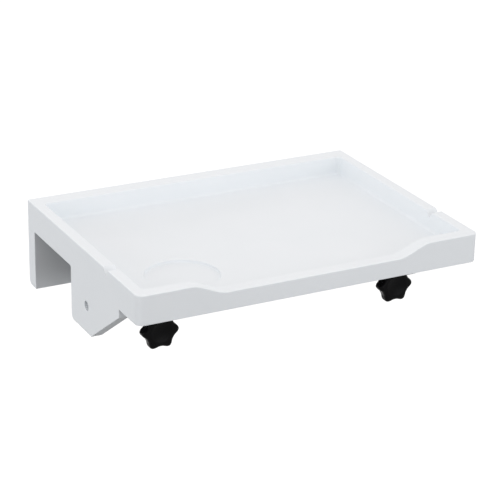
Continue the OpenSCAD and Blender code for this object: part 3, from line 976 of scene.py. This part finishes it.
# %% [markdown]
# ## Star knobs
#
# A star knob is moulded: six lobes to grip, a shallow dish in its face, generous roundings and a hub
# behind. It could be cut from a lobed outline, but then its rounding would end in the scallops.
# So it is turned first, as a round knob with its hub, and the scallops are pressed in afterwards:
# the further a point lies from the axis, the more it moves, and every rounding follows along.

# %% Star knobs
LOBES = 6
knob_r, root_r = 20 * MM, 16.3 * MM
pressed_from, pressed_fully = 11 * MM, 17 * MM
head_end = 11.7 * MM


def lobed_radius(angle):
    """The knob's radius in one direction: the power makes lobes narrower than scallops."""
    return root_r + (knob_r - root_r) * ((1 + math.cos(LOBES * angle)) / 2) ** 1.5


def star_knob():
    """The knob about Z, its face at 0 and its hub above."""
    knob = turned([(0, 1.5), (3, 1.4), (6, 1.1), (9, 0.6), (11.5, 0, 1), (15.5, 0.2), (20, 0.6, 3.4),
                   (20, 11.6, 2.6), (17, 11.6), (13.5, 11.6), (10, 11.6, 2), (10, 21.6, 1),
                   (6, 21.6), (6, 7.6), (0, 7.6)], 24 * LOBES)
    for vertex in knob.verts:
        radius = vertex.co.xy.length
        share = min(1, max(0, (radius - pressed_from) / (pressed_fully - pressed_from)))
        pressed = lobed_radius(math.atan2(vertex.co.y, vertex.co.x)) / knob_r
        if vertex.co.z < head_end:
            vertex.co.xy *= 1 + (pressed - 1) * share * share * (3 - 2 * share)
    return knob


for name, side in (("left", -1), ("right", 1)):
    node = "star_knob_" + name
    fit(mesh_object(node + "_moulded", on_rod(star_knob(), node, side), black_nylon),
        name + "_screw", "black_knob", node)

# %% [markdown]
# ## Floor, light and camera
#
# A white studio: a pale floor well below the shelf, a bright even surround, and four wide soft
# boxes, in front, on the left, above and behind. Each of them faces one set of the shelf's faces,
# so their strengths set how far front, side and tray floor differ in tone. Those round the shelf
# stand low, which leaves the tray's inner walls partly in the rim's shade, and are a little cooler
# than the surround, so that the shaded sides stay neutral. The surround and the floor are white for
# the camera and for reflections, and dimmer for the light that they give, so that faces turned away
# from the soft boxes stay darker.

# %% Studio
SURROUND = 0.82
SHADOW_SHARE = 0.22
STAGE_Z = -0.36
STAGE_SIZE = 6


def seen_and_lit(tree, seen, lit):
    """One shader for the camera, reflections and glass, and another for the light it gives."""
    path = add_node(tree, "ShaderNodeLightPath")
    first = add_node(tree, "ShaderNodeMath", {"operation": "MAXIMUM"},
                     {0: path.outputs["Is Camera Ray"], 1: path.outputs["Is Glossy Ray"]})
    either = add_node(tree, "ShaderNodeMath", {"operation": "MAXIMUM"},
                      {0: first.outputs[0], 1: path.outputs["Is Transmission Ray"]})
    return add_node(tree, "ShaderNodeMixShader", {}, {0: either.outputs[0], 1: lit.outputs[0],
                                                      2: seen.outputs[0]})


def studio_world():
    """A surround that is white in the picture, and lights the shelf a little less."""
    world = bpy.data.worlds.new("studio_surround")
    bpy.context.scene.world = world
    world.use_nodes = True
    tree = world.node_tree
    seen = tree.nodes["Background"]
    seen.inputs["Color"].default_value = (1, 1, 1, 1)
    lit = add_node(tree, "ShaderNodeBackground", {"Color": linear("#FFFBFA"),
                                                  "Strength": SURROUND})
    mixed = seen_and_lit(tree, seen, lit)
    tree.links.new(mixed.outputs[0], tree.nodes["World Output"].inputs["Surface"])


def studio_floor():
    """A white floor that keeps the shelf's shadow for the camera, and is grey as a reflector."""
    material, tree, shader = new_material("pale_studio_floor")
    tree.nodes.remove(shader)
    bounce = add_node(tree, "ShaderNodeBsdfDiffuse", {"Color": linear("#4B4B4B")})
    shade = add_node(tree, "ShaderNodeBsdfDiffuse", {"Color": [SHADOW_SHARE] * 3 + [1]})
    glow = add_node(tree, "ShaderNodeEmission", {"Strength": 1 - 0.5 * SHADOW_SHARE})
    white = add_node(tree, "ShaderNodeAddShader", {}, {0: shade.outputs[0], 1: glow.outputs[0]})
    mixed = seen_and_lit(tree, white, bounce)
    tree.links.new(mixed.outputs[0], tree.nodes["Material Output"].inputs["Surface"])
    bm = bmesh.new()
    bmesh.ops.create_grid(bm, x_segments=1, y_segments=1, size=STAGE_SIZE)
    bmesh.ops.translate(bm, vec=(0, 0, STAGE_Z), verts=bm.verts)
    floor = mesh_object("studio_floor", bm, material)


def soft_box(name, place, size, watts, colour):
    """A square lamp that faces the shelf and stays out of the picture."""
    lamp = bpy.data.lights.new(name, "AREA")
    lamp.size = size
    lamp.energy = watts
    lamp.color = linear(colour)[:3]
    box = bpy.data.objects.new(name, lamp)
    box.location = place
    box.rotation_euler = (-Vector(place)).to_track_quat("-Z", "Y").to_euler()
    box.visible_camera = False
    bpy.context.scene.collection.objects.link(box)
    print(name, "gives", watts, "W")


studio_world()
studio_floor()
soft_box("soft_box_front", (0.45, -1.75, 0.10), 1.2, 9.1, "#F9FCFF")
soft_box("soft_box_left", (-1.80, -0.05, 0.10), 1.2, 9.8, "#F9FCFF")
soft_box("soft_box_top", (0.0, -0.10, 1.80), 1.4, 3.0, "#FFFFFF")
soft_box("soft_box_rear", (0.60, 1.75, 0.10), 1.2, 4.5, "#F9FCFF")

# %% [markdown]
# ## Camera
#
# The camera stands where a person would stand in front of the shelf's left corner, looking down
# on the tray. It is placed by its yaw, pitch and roll, with a long lens, so that the shelf's
# parallel edges stay nearly parallel.

# %% Camera
CAMERA_PLACE = Vector((-0.84692, -1.66727, 0.73832))
YAW, PITCH, ROLL = 0.48896, 0.39149, 0.0213
FOCAL_LENGTH = 135.14
SENSOR_WIDTH = 36

lens = bpy.data.cameras.new("shelf_camera")
lens.lens = FOCAL_LENGTH
lens.sensor_width = SENSOR_WIDTH
camera = bpy.data.objects.new("shelf_camera", lens)
forward = Vector((math.sin(YAW) * math.cos(PITCH), math.cos(YAW) * math.cos(PITCH),
                  -math.sin(PITCH)))
right = Vector((math.cos(YAW), -math.sin(YAW), 0))
up = right.cross(forward)
right, up = (right * math.cos(ROLL) + up * math.sin(ROLL),
             up * math.cos(ROLL) - right * math.sin(ROLL))
facing = Matrix((right, up, -forward)).transposed()
camera.matrix_world = Matrix.Translation(CAMERA_PLACE) @ facing.to_4x4()
bpy.context.scene.collection.objects.link(camera)
bpy.context.scene.camera = camera
print("camera at", [round(c, 3) for c in CAMERA_PLACE])
